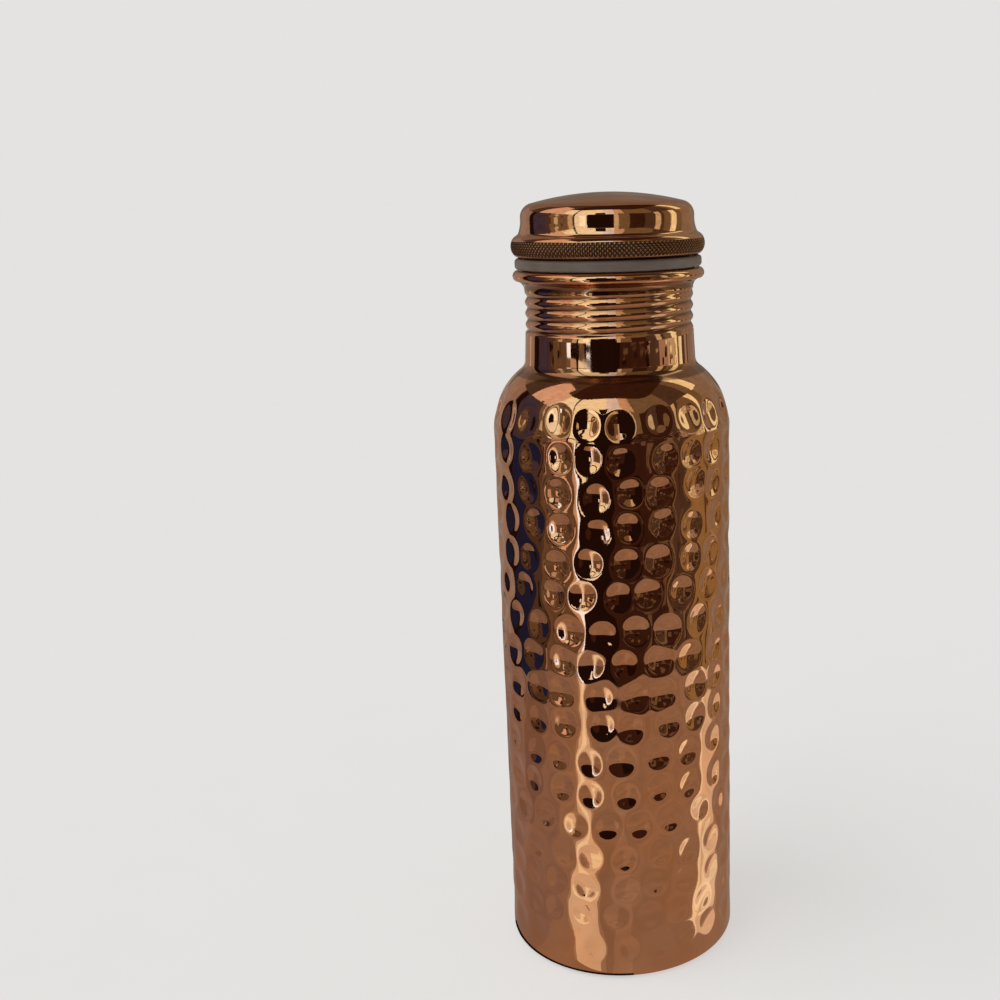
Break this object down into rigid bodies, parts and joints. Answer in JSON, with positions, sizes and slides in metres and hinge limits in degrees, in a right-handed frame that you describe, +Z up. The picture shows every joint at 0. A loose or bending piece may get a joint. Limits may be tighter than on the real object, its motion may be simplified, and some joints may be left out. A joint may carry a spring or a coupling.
{
  "type": "water bottle",
  "caption": "Hammered copper water bottle with a rolled screw neck, a domed knurled screw cap and a silicone seal.",
  "frame": {"origin": "centre of the ring that the bottle stands on, at the level of the table", "axes": "+Z up along the bottle's axis, towards the cap; the bottle is round, so +X and +Y are any two square directions, and -Y faces the viewer"},
  "size_m": [0.0762, 0.0762, 0.2498],
  "materials": {
    "hammered_copper": "mirror-polished hammered copper",
    "polished_copper": "mirror-polished copper",
    "satin_copper": "satin copper, as formed",
    "silicone": "translucent milky silicone"
  },
  "bodies": {
    "bottle": {"bottle_body": "hammered_copper", "base_disc": "satin_copper"},
    "seal": {"seal_ring": "silicone"},
    "cap": {"cap_crown": "polished_copper", "threaded_plug": "satin_copper"}
  },
  "joints": [
    {"name": "cap_lift", "type": "slide", "parent": "bottle", "child": "seal", "axis": [0, 0, 1], "range_m": [0, 0.0246]},
    {"name": "cap_turn", "type": "hinge", "parent": "seal", "child": "cap", "pos_m": [0, 0, 0.235], "axis": [0, 0, 1], "range_deg": [0, 2520]}
  ],
  "couplings": [
    {"joint": "cap_lift", "follows": "cap_turn", "m_per_rad": 0.00055704}
  ]
}
